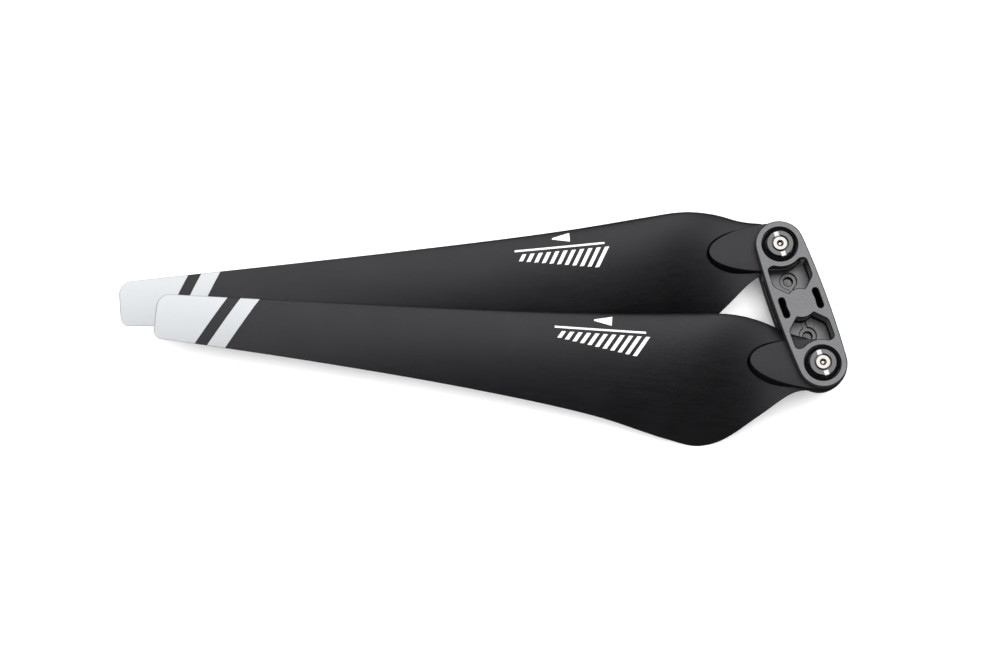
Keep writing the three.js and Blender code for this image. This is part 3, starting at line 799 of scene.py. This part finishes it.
def pivot_collar(name):
    chamfer = 0.25
    made = turned(name, [
        (COLLAR_WEB_RADIUS, COLLAR_BOTTOM), (COLLAR_RADIUS, COLLAR_BOTTOM),
        (COLLAR_RADIUS, COLLAR_TOP - chamfer), (COLLAR_RADIUS - chamfer, COLLAR_TOP),
        (COLLAR_BORE_RADIUS + 0.1, COLLAR_TOP), (COLLAR_BORE_RADIUS, COLLAR_TOP - 0.1),
        (COLLAR_BORE_RADIUS, COLLAR_SEAT), (COLLAR_WEB_RADIUS, COLLAR_SEAT),
    ])
    half = SPANNER_SLOT_WIDTH / 2
    reach = COLLAR_RADIUS + 1
    sides = np.array([(-reach, -half), (reach, -half), (reach, half), (-reach, half)])
    return cut(made, loft("tool", sides, [(0, COLLAR_TOP - SPANNER_SLOT_DEPTH), (0, COLLAR_TOP + 1)]))


def slot_floor(name):
    """The bare metal that milling leaves on the floor of one spanner slot, as a thin plate."""
    gap = 0.01
    half = SPANNER_SLOT_WIDTH / 2 - gap
    inner = COLLAR_BORE_RADIUS + 2 * gap
    outer = COLLAR_RADIUS - 0.2
    inside = math.asin(half / inner)
    outside = math.asin(half / outer)
    floor = COLLAR_TOP - SPANNER_SLOT_DEPTH + gap
    outline = np.vstack([arc(0, 0, inner, inside, -inside, 9), arc(0, 0, outer, -outside, outside, 9)])
    return loft(name, outline, [(0, floor), (0, floor + 0.04)])


def recess_ring(name):
    """A rubber ring with a rounded top, in the recess round the collar."""
    middle = (RING_OUTER_RADIUS + RING_INNER_RADIUS) / 2
    half = (RING_OUTER_RADIUS - RING_INNER_RADIUS) / 2
    bottom = RECESS_FLOOR + 0.02
    rise = 0.3
    crown = [(middle + half * math.cos(t), RING_TOP - rise * (1 - math.sin(t))) for t in
             np.linspace(0, math.pi, 13)]
    return turned(name, [(RING_INNER_RADIUS, bottom), (RING_OUTER_RADIUS, bottom), *crown])


# ---- materials -------------------------------------------------------------------------------------

# The steep faces and chamfers of the anodised parts get painted shade, a darker colour for the shade that
# falls on them: walls nearer the line between the pivots than the second distance, in metres, take the
# inner shade, and those past the first take the outer shade.
WALL_SPLIT = (0.0084, 0.008)
INNER_WALL_SHADE = 0.12
OUTER_WALL_SHADE = 0.34
# Upward shares of the normal between which a face passes from steep to level.
PLATE_LEVEL = (0.75, 0.98)
TURNED_LEVEL = (0.9, 0.99)
# Shares of the colour that the steep faces of turned metal keep, as painted shade.
TURNED_EDGE_SHADE = 0.5
SCREW_EDGE_SHADE = 0.12


def shader(name, color, metallic=0, roughness=0.5, specular=0.5):
    material = bpy.data.materials.new(name)
    material.use_nodes = True
    tree = material.node_tree
    surface = tree.nodes["Principled BSDF"]
    surface.inputs["Base Color"].default_value = (*color, 1)
    surface.inputs["Metallic"].default_value = metallic
    surface.inputs["Roughness"].default_value = roughness
    surface.inputs["Specular IOR Level"].default_value = specular
    return material, tree, surface


def node(tree, kind, inputs=None, **settings):
    made = tree.nodes.new("ShaderNode" + kind)
    for key, value in settings.items():
        setattr(made, key, value)
    for key, value in (inputs or {}).items():
        if isinstance(value, bpy.types.NodeSocket):
            tree.links.new(value, made.inputs[key])
        else:
            made.inputs[key].default_value = value
    return made


def placed(tree, turn=0, stretch=(1, 1, 1), centre=(0, 0, 0)):
    """Coordinates in metres, shifted to a centre, turned about Z by degrees, then stretched."""
    where = node(tree, "TexCoord").outputs["Object"]
    shift = node(tree, "VectorMath", {0: where, 1: centre}, operation="SUBTRACT").outputs[0]
    spin = node(tree, "VectorRotate", {"Vector": shift, "Angle": math.radians(-turn)},
                rotation_type="Z_AXIS").outputs[0]
    return node(tree, "VectorMath", {0: spin, 1: stretch}, operation="MULTIPLY").outputs[0]


def noise(tree, where, scale, low, high, detail=3):
    """Noise of a given scale per metre, spread between two values."""
    grain = node(tree, "TexNoise", {"Vector": where, "Scale": scale, "Detail": detail}).outputs["Fac"]
    spread = {"Value": grain, "From Min": 0.3, "From Max": 0.7, "To Min": low, "To Max": high}
    return node(tree, "MapRange", spread).outputs["Result"]


def tinted(tree, share, dark, light):
    """A blend of two colours, either of which may come from another node."""
    mix = node(tree, "Mix", {0: share}, data_type="RGBA")
    for socket, color in ((mix.inputs[6], dark), (mix.inputs[7], light)):
        if isinstance(color, bpy.types.NodeSocket):
            tree.links.new(color, socket)
        else:
            socket.default_value = (*color, 1)
    return mix.outputs[2]


def bumped(tree, height, depth, strength=1, base=None):
    inputs = {"Height": height, "Distance": depth, "Strength": strength}
    if base is not None:
        inputs["Normal"] = base
    return node(tree, "Bump", inputs).outputs["Normal"]


def levelness(tree, steep, level):
    """0 where a face is steeper than one upward share of its normal, 1 where it is past the other."""
    normal = node(tree, "NewGeometry").outputs["True Normal"]
    facing = node(tree, "SeparateXYZ", {0: normal}).outputs["Z"]
    spread = {"Value": facing, "From Min": steep, "From Max": level}
    return node(tree, "MapRange", spread).outputs["Result"]


def total(tree, *values):
    result = values[0]
    for value in values[1:]:
        result = node(tree, "Math", {0: result, 1: value}, operation="ADD").outputs[0]
    return result


def carbon_nylon(name, direction):
    """Moulded black nylon with short carbon fibres: a fine grain, and flow streaks along the blade."""
    material, tree, surface = shader(name, (0.0018, 0.0018, 0.002), roughness=0.46, specular=0.58)
    surface.inputs["Specular Tint"].default_value = (0.96, 0.93, 1, 1)
    plain = placed(tree)
    along = placed(tree, turn=direction, stretch=(0.12, 1, 1))
    streaks = noise(tree, along, 900, 0, 1, detail=4)
    clouds = noise(tree, plain, 45, -0.03, 0.04)
    speckle = noise(tree, plain, 2600, -0.05, 0.05)
    tree.links.new(tinted(tree, streaks, (0.0012, 0.0012, 0.0014), (0.0024, 0.0024, 0.0028)),
                   surface.inputs["Base Color"])
    tree.links.new(total(tree, clouds, speckle, noise(tree, along, 900, 0.43, 0.49)),
                   surface.inputs["Roughness"])
    grain = noise(tree, plain, 4200, 0, 1, detail=2)
    normal = bumped(tree, grain, 0.000012)
    tree.links.new(bumped(tree, streaks, 0.000008, base=normal), surface.inputs["Normal"])
    return material


def anodised(name, color=(0.146, 0.147, 0.152)):
    """Bead-blasted aluminium under grey anodising, with painted shade on its steep faces and chamfers."""
    material, tree, surface = shader(name, color, metallic=0.72, roughness=0.3, specular=0.35)
    plain = placed(tree)
    clouds = noise(tree, plain, 120, 0, 1)
    dark = tuple(0.86 * c for c in color)
    light = tuple(0.96 * c for c in color)
    # Painted shade: steep faces and chamfers take a darker wall colour, darkest near the line between the
    # pivots.
    split = {"Value": from_spine(tree, plain), "From Min": WALL_SPLIT[0], "From Max": WALL_SPLIT[1]}
    inner = node(tree, "MapRange", split)
    wall_shades = [tuple(tone * c for c in color) for tone in (OUTER_WALL_SHADE, INNER_WALL_SHADE)]
    wall_shade_color = tinted(tree, inner.outputs["Result"], *wall_shades)
    blasted = tinted(tree, clouds, dark, light)
    blasted = tinted(tree, noise(tree, plain, 2600, 0, 0.5), blasted, tuple(1.3 * c for c in color))
    tree.links.new(tinted(tree, levelness(tree, *PLATE_LEVEL), wall_shade_color, blasted),
                   surface.inputs["Base Color"])
    tree.links.new(total(tree, noise(tree, plain, 160, 0.27, 0.32), noise(tree, plain, 5200, -0.04, 0.04)),
                   surface.inputs["Roughness"])
    tree.links.new(bumped(tree, noise(tree, plain, 5200, 0, 1, detail=2), 0.00001),
                   surface.inputs["Normal"])
    return material


def from_spine(tree, plain):
    """Distance in plan from the line between the two pivots."""
    apart = node(tree, "SeparateXYZ", {0: plain})
    along = node(tree, "Math", {0: apart.outputs["X"]}, operation="ABSOLUTE").outputs[0]
    past = node(tree, "Math", {0: along, 1: PIVOT_X / 1000}, operation="SUBTRACT").outputs[0]
    beyond = node(tree, "Math", {0: past, 1: 0}, operation="MAXIMUM").outputs[0]
    offset = node(tree, "CombineXYZ", {"X": beyond, "Y": apart.outputs["Y"]}).outputs[0]
    return node(tree, "VectorMath", {0: offset}, operation="LENGTH").outputs["Value"]


def turned_metal(name, color, roughness, centre, edge_shade=TURNED_EDGE_SHADE):
    """Metal faced on a lathe: fine rings about the centre, and painted shade on steep faces such as edges
    and socket walls.
    """
    material, tree, surface = shader(name, color, metallic=1, roughness=roughness)
    where = placed(tree, centre=centre)
    flat = node(tree, "VectorMath", {0: where, 1: (1, 1, 0)}, operation="MULTIPLY").outputs[0]
    radius = node(tree, "VectorMath", {0: flat}, operation="LENGTH").outputs["Value"]
    rings = node(tree, "TexNoise", {"W": radius, "Scale": 9000, "Detail": 2}, noise_dimensions="1D")
    patches = noise(tree, where, 600, -0.04, 0.04)
    spread = {"Value": rings.outputs["Fac"], "From Min": 0.3, "From Max": 0.7,
              "To Min": roughness - 0.05, "To Max": roughness + 0.06}
    uneven = node(tree, "MapRange", spread).outputs["Result"]
    tree.links.new(total(tree, uneven, patches), surface.inputs["Roughness"])
    dark = tuple(0.92 * c for c in color)
    # Painted shade: steep faces, such as edges and socket walls, take a darker colour.
    edge = tuple(edge_shade * c for c in color)
    face = tinted(tree, rings.outputs["Fac"], dark, color)
    tree.links.new(tinted(tree, levelness(tree, *TURNED_LEVEL), edge, face),
                   surface.inputs["Base Color"])
    tree.links.new(bumped(tree, rings.outputs["Fac"], 0.000004), surface.inputs["Normal"])
    return material


def black_acetal(name):
    """Dull black plastic with a faint sheen and dust-fine grain."""
    material, tree, surface = shader(name, (0.002, 0.002, 0.002), roughness=0.7, specular=0.05)
    plain = placed(tree)
    tree.links.new(noise(tree, plain, 300, 0.62, 0.78), surface.inputs["Roughness"])
    dust = noise(tree, plain, 1500, 0, 1)
    tree.links.new(tinted(tree, dust, (0.001, 0.001, 0.001), (0.003, 0.003, 0.003)),
                   surface.inputs["Base Color"])
    tree.links.new(bumped(tree, noise(tree, plain, 3500, 0, 1), 0.00001), surface.inputs["Normal"])
    return material


def silver_paint(name):
    """Satin silver paint with fine metal flake and a little orange peel."""
    material, tree, surface = shader(name, (0.5, 0.515, 0.53), metallic=0.85, roughness=0.36)
    plain = placed(tree)
    flake = noise(tree, plain, 9000, 0, 1, detail=1)
    tree.links.new(tinted(tree, flake, (0.5, 0.515, 0.53), (0.57, 0.585, 0.6)),
                   surface.inputs["Base Color"])
    tree.links.new(noise(tree, plain, 4000, 0.36, 0.48), surface.inputs["Roughness"])
    peel = bumped(tree, noise(tree, plain, 900, 0, 1), 0.000006)
    tree.links.new(bumped(tree, flake, 0.000004, base=peel), surface.inputs["Normal"])
    return material


def white_print(name):
    """Matt white pad-printed ink, slightly thin in places."""
    material, tree, surface = shader(name, (0.8, 0.8, 0.8), roughness=0.6)
    plain = placed(tree)
    tree.links.new(tinted(tree, noise(tree, plain, 2500, 0, 1), (0.62, 0.62, 0.62), (0.85, 0.85, 0.85)),
                   surface.inputs["Base Color"])
    tree.links.new(noise(tree, plain, 1200, 0.5, 0.7), surface.inputs["Roughness"])
    tree.links.new(bumped(tree, noise(tree, plain, 5000, 0, 1), 0.000005), surface.inputs["Normal"])
    return material


# ---- assembly --------------------------------------------------------------------------------------

grey = anodised("anodised_grey")
rubber = black_acetal("black_acetal")
silver = silver_paint("silver_paint")
print_white = white_print("white_print")

finished(hub_top_plate(), "hub_body", grey, "anodised_grey", "hub_top_plate")
finished(hub_base_plate(), "hub_body", grey, "anodised_grey", "hub_base_plate")
finished(hub_spacer(), "hub_body", rubber, "black_acetal", "hub_spacer")

for index, side in enumerate((-1, 1), start=1):
    middle_of_screw = (0, side * CLAMP_Y * MM, 0)
    screw_metal = turned_metal(f"clamp_steel_{index}", (0.75, 0.73, 0.7), 0.28, middle_of_screw)
    screw = moved(clamp_screw(f"clamp_screw_{index}_fine"), y=side * CLAMP_Y)
    finished(screw, "hub_body", screw_metal, "bright_steel", f"clamp_screw_{index}")

for letter, (side, folded) in ENDS.items():
    centre = (side * PIVOT_X * MM, 0, 0)
    half_turn = 0 if side > 0 else 180
    steel = turned_metal(
        f"bright_steel_{letter}", (0.62, 0.585, 0.55), 0.2, centre, edge_shade=SCREW_EDGE_SHADE)
    collar_metal = turned_metal(f"collar_grey_{letter}", (0.17, 0.17, 0.17), 0.36, centre)
    brass = turned_metal(f"bronze_{letter}", (0.6, 0.42, 0.2), 0.35, centre)
    bright = turned_metal(f"bare_aluminium_{letter}", (0.66, 0.665, 0.68), 0.3, centre)
    for make, word, metal, slot in (
        (pivot_shaft, "pivot_shaft", steel, "bright_steel"),
        (pivot_screw, "pivot_screw", steel, "bright_steel"),
        (pivot_collar, "pivot_collar", collar_metal, "anodised_grey"),
        (recess_ring, "recess_ring", rubber, "black_acetal"),
    ):
        piece = moved(make(f"{word}_{letter}_fine"), x=side * PIVOT_X, turn=half_turn)
        finished(piece, "hub_body", metal, slot, f"{word}_{letter}")
    for number in (1, 2):
        lining = moved(slot_floor(f"spanner_slot_{letter}_{number}"), turn=180 * number)
        finished(moved(lining, x=side * PIVOT_X), "hub_body", bright, "bare_aluminium")
    for word, metal in (
        ("spring_washer", steel), ("lower_thrust_washer", rubber), ("upper_thrust_washer", rubber),
        ("blade_bush", brass),
    ):
        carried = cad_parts[f"{word}_{letter}"]
        carried.data.materials.clear()
        carried.data.materials.append(metal)

    body = f"blade_{letter}_body"
    nylon = carbon_nylon(f"carbon_nylon_{letter}", folded)
    moulding = moved(blade(), x=side * PIVOT_X, turn=folded)
    moulding.name = f"blade_{letter}_fine"
    finished(moulding, body, nylon, "carbon_nylon", f"blade_{letter}", sharp=40)
    stripe = moved(paint_band(STRIPE_START, STRIPE_END), x=side * PIVOT_X, turn=folded)
    stripe.name = f"blade_{letter}_stripe"
    finished(stripe, body, silver, "silver_paint", sharp=60)
    tip = moved(tip_paint(), x=side * PIVOT_X, turn=folded)
    tip.name = f"blade_{letter}_tip_paint"
    finished(tip, body, silver, "silver_paint", sharp=60)
    marks = moved(blade_marks(), x=side * PIVOT_X, turn=folded)
    marks.name = f"blade_{letter}_marks"
    finished(marks, body, print_white, "white_print")

# ---- floor, light and camera -----------------------------------------------------------------------

FLOOR_HALF = 3.2
RING_SIDES = 48
BACKDROP_RADIUS = 3
BACKDROP_HEIGHT = 2.5
LOW_BAND_RADIUS = 2.9
LOW_BAND_HEIGHT = 0.7
LOW_BAND_LEVEL = 0.25
# The floor gives off a little light of its own, and more in a painted pool of light. Under the hub its
# colour is dark, a painted shadow.
FLOOR_GLOW = 0.1
POOL_GLOW = 0.55
POOL_CENTRE = (-0.0105, -0.0205, 0)
POOL_EDGE = (0.005, 0.013)
PAINTED_SHADOW_COLOR = (0.17, 0.16, 0.14)
PAINTED_SHADOW_SQUASH = (0.3, 1, 0)
PAINTED_SHADOW_EDGE = (0.0042, 0.0096)
SOFTBOX_HEIGHT = 1.0
SOFTBOX_X = (-1.35, 0.24)
SOFTBOX_Y = (-1.6, 1.4)
SOFTBOX_RADIANCE = 1.6
WASH_X = (-2, 2)
WASH_Y = (-2, 2)
WASH_HEIGHT = 1.2
WASH_RADIANCE = 1.5
WORLD_LEVEL = 0.045
BACKDROP_LEVEL = 0.9

CAMERA_LENS = 58.4
CAMERA_DISTANCE = 0.59117
CAMERA_AIM = (-0.02263, -0.10683, 0.006)
CAMERA_AZIMUTH = -9.32
CAMERA_ELEVATION = 75.68
CAMERA_ROLL = -7.66


def floor_material():
    """Pale, with a painted shadow under the hub and a painted pool of light between the hub and the
    blades.
    """
    material, tree, surface = shader("pale_floor", (0.93, 0.93, 0.93), roughness=0.9, specular=0.1)
    plain = placed(tree)
    pale = tinted(tree, noise(tree, plain, 30, 0, 1), (0.925, 0.925, 0.925), (0.94, 0.94, 0.94))
    # Painted shadow: the floor's colour darkens under the hub.
    squashed = node(tree, "VectorMath", {0: plain, 1: PAINTED_SHADOW_SQUASH}, operation="MULTIPLY").outputs[0]
    away = node(tree, "VectorMath", {0: squashed}, operation="LENGTH").outputs["Value"]
    painted_shadow_edge = {"Value": away, "From Min": PAINTED_SHADOW_EDGE[0], "From Max": PAINTED_SHADOW_EDGE[1]}
    clear = node(tree, "MapRange", painted_shadow_edge).outputs["Result"]
    tree.links.new(tinted(tree, clear, PAINTED_SHADOW_COLOR, pale), surface.inputs["Base Color"])
    surface.inputs["Emission Color"].default_value = (1, 1, 1, 1)
    # Painted pool of light: the floor glows more between the hub and the blades.
    pool = node(tree, "VectorMath", {0: plain, 1: POOL_CENTRE}, operation="SUBTRACT").outputs[0]
    flat = node(tree, "VectorMath", {0: pool, 1: (1, 1, 0)}, operation="MULTIPLY").outputs[0]
    apart = node(tree, "VectorMath", {0: flat}, operation="LENGTH").outputs["Value"]
    pool_edge = {"Value": apart, "From Min": POOL_EDGE[0], "From Max": POOL_EDGE[1],
                 "To Min": POOL_GLOW, "To Max": FLOOR_GLOW}
    glow = node(tree, "MapRange", pool_edge).outputs["Result"]
    tree.links.new(glow, surface.inputs["Emission Strength"])
    return material


def make_floor():
    level = cad_box[0].z
    corners = [(x, y, level) for x, y in ((-1, -1), (1, -1), (1, 1), (-1, 1))]
    points = [(FLOOR_HALF * x, FLOOR_HALF * y, z) for x, y, z in corners]
    made = mesh_object("floor", points, [(0, 1, 2, 3)])
    made.data.materials.append(floor_material())
    made.visible_glossy = False


def glowing_ring(name, radius, low, high, level):
    """An upright band all round the object that gives off an even light."""
    material, tree, surface = shader(name, (0, 0, 0), roughness=1, specular=0)
    surface.inputs["Emission Color"].default_value = (1, 1, 1, 1)
    surface.inputs["Emission Strength"].default_value = level
    angles = np.linspace(0, 2 * math.pi, RING_SIDES, endpoint=False)
    ring = np.c_[radius * np.cos(angles), radius * np.sin(angles)]
    points = np.vstack([np.c_[ring, np.full(RING_SIDES, low)], np.c_[ring, np.full(RING_SIDES, high)]])
    nexts = [(k + 1) % RING_SIDES for k in range(RING_SIDES)]
    faces = [(k, n, RING_SIDES + n, RING_SIDES + k) for k, n in enumerate(nexts)]
    made = mesh_object(name, points, faces)
    made.data.materials.append(material)
    made.visible_diffuse = False
    made.visible_shadow = False
    return made


def make_backdrop():
    """A pale wall behind everything, and a dim low band that shows only as a reflection."""
    bottom = cad_box[0].z - 0.1
    wall = glowing_ring("backdrop", BACKDROP_RADIUS, bottom, BACKDROP_HEIGHT, BACKDROP_LEVEL)
    wall.visible_glossy = False
    band = glowing_ring("low_band", LOW_BAND_RADIUS, cad_box[0].z, LOW_BAND_HEIGHT, LOW_BAND_LEVEL)
    band.visible_camera = False


def area_light(name, x_range, y_range, height, radiance):
    """A level rectangular light, facing down, that gives off an even radiance."""
    light = bpy.data.lights.new(name, "AREA")
    light.shape = "RECTANGLE"
    light.size = x_range[1] - x_range[0]
    light.size_y = y_range[1] - y_range[0]
    light.energy = radiance * math.pi * light.size * light.size_y
    made = bpy.data.objects.new(name, light)
    bpy.context.scene.collection.objects.link(made)
    made.location = (sum(x_range) / 2, sum(y_range) / 2, height)
    return made


def make_lights():
    """The softbox is what the metal mirrors. The wash only lights the floor and what is dull."""
    area_light("softbox", SOFTBOX_X, SOFTBOX_Y, SOFTBOX_HEIGHT, SOFTBOX_RADIANCE)
    wash = area_light("wash", WASH_X, WASH_Y, WASH_HEIGHT, WASH_RADIANCE)
    wash.visible_glossy = False


def make_world():
    world = bpy.data.worlds.new("studio")
    bpy.context.scene.world = world
    world.use_nodes = True
    background = world.node_tree.nodes["Background"]
    background.inputs["Color"].default_value = (WORLD_LEVEL, WORLD_LEVEL, WORLD_LEVEL, 1)


def make_camera():
    data = bpy.data.cameras.new("camera")
    data.lens = CAMERA_LENS
    data.sensor_width = 36
    data.clip_start = 0.01
    data.clip_end = 50
    made = bpy.data.objects.new("camera", data)
    bpy.context.scene.collection.objects.link(made)
    turn = math.radians(CAMERA_AZIMUTH)
    rise = math.radians(CAMERA_ELEVATION)
    back = Vector((math.cos(turn) * math.cos(rise), math.sin(turn) * math.cos(rise), math.sin(rise)))
    upright = (-back).to_track_quat("-Z", "Y").to_matrix().to_4x4()
    made.matrix_world = (
        Matrix.Translation(Vector(CAMERA_AIM) + CAMERA_DISTANCE * back)
        @ upright
        @ Matrix.Rotation(math.radians(CAMERA_ROLL), 4, "Z")
    )
    bpy.context.scene.camera = made


make_floor()
make_backdrop()
make_lights()
make_world()
make_camera()
bpy.context.scene.view_settings.view_transform = "Standard"
